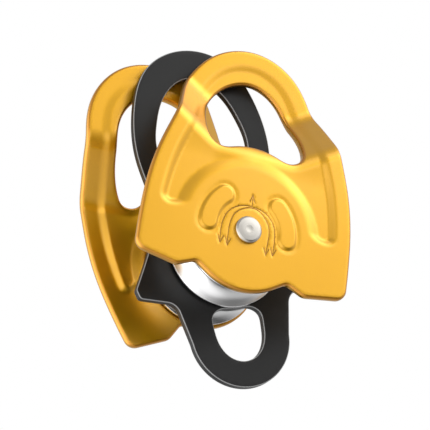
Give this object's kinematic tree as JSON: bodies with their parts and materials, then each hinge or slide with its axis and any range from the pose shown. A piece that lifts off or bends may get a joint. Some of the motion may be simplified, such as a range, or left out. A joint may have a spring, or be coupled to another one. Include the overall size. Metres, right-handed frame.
{
  "type": "double sheave block",
  "caption": "Double rope pulley block with swinging pressed side plates, a flat centre plate with an upper eye and a becket eye, and grooved ball-bearing sheaves.",
  "frame": {"origin": "on the axle's centre line, in the middle of the centre plate's thickness", "axes": "+Z from the axle to the upper eye, +Y along the axle from the front side plate to the rear one, +X to the right seen from the front"},
  "size_m": [0.0659, 0.0404, 0.0997],
  "materials": {
    "gold_anodised": "gold anodised, satin gloss",
    "black_anodised": "black anodised, satin",
    "turned_aluminium": "fine turned, bright",
    "axle_steel": "turned stainless steel",
    "bearing_steel": "ground and polished",
    "spacer_aluminium": "turned",
    "washer_polymer": "moulded acetal",
    "cage_polymer": "moulded polyamide",
    "seal_rubber": "moulded nitrile"
  },
  "bodies": {
    "centre_frame": {"centre_plate": "black_anodised", "axle": "axle_steel", "front_inner_spacer": "spacer_aluminium", "front_outer_spacer": "spacer_aluminium", "front_thrust_washer": "washer_polymer", "front_bearing_inner_ring": "bearing_steel", "rear_inner_spacer": "spacer_aluminium", "rear_outer_spacer": "spacer_aluminium", "rear_thrust_washer": "washer_polymer", "rear_bearing_inner_ring": "bearing_steel"},
    "front_plate": {"front_side_plate": "gold_anodised"},
    "rear_plate": {"rear_side_plate": "gold_anodised"},
    "front_wheel": {"front_sheave": "turned_aluminium", "front_bearing_outer_ring": "bearing_steel", "front_bearing_near_seal": "seal_rubber", "front_bearing_far_seal": "seal_rubber"},
    "rear_wheel": {"rear_sheave": "turned_aluminium", "rear_bearing_outer_ring": "bearing_steel", "rear_bearing_near_seal": "seal_rubber", "rear_bearing_far_seal": "seal_rubber"},
    "front_ball_set": {"front_bearing_balls": "bearing_steel", "front_bearing_cage": "cage_polymer"},
    "rear_ball_set": {"rear_bearing_balls": "bearing_steel", "rear_bearing_cage": "cage_polymer"}
  },
  "joints": [
    {"name": "front_plate_swing", "type": "hinge", "parent": "centre_frame", "child": "front_plate", "pos_m": [0, 0, 0], "axis": [0, 1, 0], "continuous": true},
    {"name": "front_sheave_spin", "type": "hinge", "parent": "centre_frame", "child": "front_wheel", "pos_m": [0, 0, 0], "axis": [0, 1, 0], "continuous": true},
    {"name": "front_ball_roll", "type": "hinge", "parent": "centre_frame", "child": "front_ball_set", "pos_m": [0, 0, 0], "axis": [0, 1, 0], "continuous": true},
    {"name": "rear_plate_swing", "type": "hinge", "parent": "centre_frame", "child": "rear_plate", "pos_m": [0, 0, 0], "axis": [0, 1, 0], "continuous": true},
    {"name": "rear_sheave_spin", "type": "hinge", "parent": "centre_frame", "child": "rear_wheel", "pos_m": [0, 0, 0], "axis": [0, 1, 0], "continuous": true},
    {"name": "rear_ball_roll", "type": "hinge", "parent": "centre_frame", "child": "rear_ball_set", "pos_m": [0, 0, 0], "axis": [0, 1, 0], "continuous": true}
  ],
  "couplings": [
    {"joint": "front_ball_roll", "follows": "front_sheave_spin", "ratio": 0.62963},
    {"joint": "rear_ball_roll", "follows": "rear_sheave_spin", "ratio": 0.62963}
  ]
}
